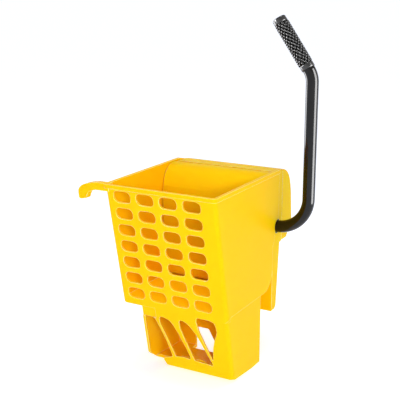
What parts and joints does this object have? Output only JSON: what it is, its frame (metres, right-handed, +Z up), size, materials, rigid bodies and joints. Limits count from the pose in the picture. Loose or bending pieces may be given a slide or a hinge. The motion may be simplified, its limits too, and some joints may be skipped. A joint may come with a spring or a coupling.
{
  "type": "side-press mop wringer",
  "caption": "Yellow perforated side-press mop wringer with a hook, open slatted base, swinging press plate, rear hood and a bent black tube lever with a studded grip.",
  "frame": {"origin": "centre of the object's bounding box in plan, at the height of the base's underside", "axes": "+X along the perforated front wall towards the lever, +Y to the rear hood, +Z up"},
  "size_m": [0.3834, 0.357, 0.7077],
  "materials": {
    "yellow_plastic": "moulded polypropylene, soft gloss",
    "black_tube": "gloss black powder coat",
    "grip_rubber": "satin, studded",
    "black_plastic": "satin",
    "zinc_steel": "zinc plated",
    "spring_steel": "bright plated wire",
    "roller_nylon": "natural nylon",
    "buffer_rubber": "matt"
  },
  "bodies": {
    "housing": {"housing": "yellow_plastic", "rear_cover": "yellow_plastic", "cover_screw_upper": "zinc_steel", "cover_screw_lower": "zinc_steel", "hinge_rod": "zinc_steel", "hinge_cap": "zinc_steel", "shaft_bush_left": "black_plastic", "shaft_bush_right": "black_plastic", "stop_buffer_left": "buffer_rubber", "stop_buffer_right": "buffer_rubber", "return_spring_left": "spring_steel", "return_spring_right": "spring_steel"},
    "lever": {"handle_tube": "black_tube", "handle_grip": "grip_rubber", "tube_end_plug": "black_plastic", "crank_left": "zinc_steel", "crank_right": "zinc_steel", "crank_bolt_left": "zinc_steel", "crank_bolt_right": "zinc_steel", "crank_nut_left": "zinc_steel", "crank_nut_right": "zinc_steel", "roller_pin_left": "zinc_steel", "roller_pin_right": "zinc_steel"},
    "press_plate": {"press_plate": "yellow_plastic", "yoke_left": "zinc_steel", "yoke_right": "zinc_steel", "yoke_screw_upper_left": "zinc_steel", "yoke_screw_upper_right": "zinc_steel", "yoke_screw_lower_left": "zinc_steel", "yoke_screw_lower_right": "zinc_steel"},
    "roller_left": {"roller_left": "roller_nylon"},
    "roller_right": {"roller_right": "roller_nylon"}
  },
  "joints": [
    {"name": "lever_swing", "type": "hinge", "parent": "housing", "child": "lever", "pos_m": [-0.008, 0.102, 0.276], "axis": [1, 0, 0], "range_deg": [0, 70], "stiffness_Nm_per_rad": 1.5, "springref_deg": -91.67, "deforming": ["return_spring_left", "return_spring_right"]},
    {"name": "plate_swing", "type": "hinge", "parent": "housing", "child": "press_plate", "pos_m": [-0.008, 0.04, 0.171], "axis": [1, 0, 0], "range_deg": [0, 35]},
    {"name": "roller_left_spin", "type": "hinge", "parent": "lever", "child": "roller_left", "pos_m": [-0.0881, 0.13243, 0.34125], "axis": [1, 0, 0], "continuous": true},
    {"name": "roller_right_spin", "type": "hinge", "parent": "lever", "child": "roller_right", "pos_m": [0.0721, 0.13243, 0.34125], "axis": [1, 0, 0], "continuous": true}
  ],
  "couplings": [
    {"joint": "plate_swing", "follows": "lever_swing", "ratio": 0.5}
  ]
}
